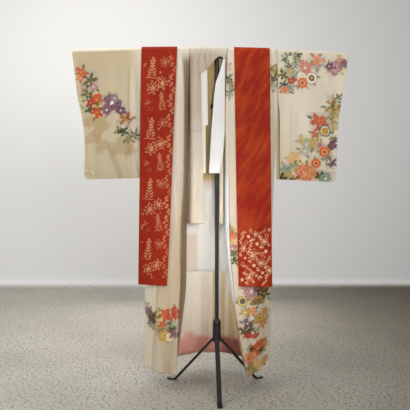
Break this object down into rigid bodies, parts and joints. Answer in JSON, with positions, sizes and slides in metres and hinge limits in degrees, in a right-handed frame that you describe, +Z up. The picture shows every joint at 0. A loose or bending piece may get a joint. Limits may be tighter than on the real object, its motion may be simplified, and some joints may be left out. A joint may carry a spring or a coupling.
{
  "type": "kimono on a t-shaped stand",
  "caption": "Lined kimono hung open over the crossbar of a T-shaped stand with a tripod foot, its folded obi laid over the shoulders and looped across the back.",
  "frame": {"origin": "on the floor, in the middle of the whole part's box seen from above", "axes": "+Z up, +X to the right of someone who faces the open front, +Y from the front to the back"},
  "size_m": [1.3011, 0.5391, 1.6352],
  "materials": {
    "cream_silk": "satin silk, cream, patterned on the sleeves and hem",
    "collar_silk": "satin silk, cream",
    "white_silk": "plain white silk lining",
    "tinted_lining": "plain silk lining that turns pink towards the hem",
    "obi_brocade": "brick red brocade with gold",
    "black_steel": "black, half matt"
  },
  "bodies": {
    "root": {"body_left": "cream_silk", "body_right": "cream_silk", "okumi_left": "cream_silk", "okumi_right": "cream_silk", "sleeve_left": "cream_silk", "sleeve_right": "cream_silk", "collar": "collar_silk", "over_collar": "collar_silk", "collar_lining_left": "white_silk", "collar_lining_right": "white_silk", "lining_upper_left": "white_silk", "lining_upper_right": "white_silk", "lining_lower_left": "tinted_lining", "lining_lower_right": "tinted_lining", "obi_left": "obi_brocade", "obi_right": "obi_brocade", "obi_back": "obi_brocade", "stand_crossbar": "black_steel", "stand_pole": "black_steel", "stand_knob": "black_steel", "stand_hub": "black_steel", "stand_leg_front": "black_steel", "stand_leg_left": "black_steel", "stand_leg_right": "black_steel"}
  },
  "joints": []
}
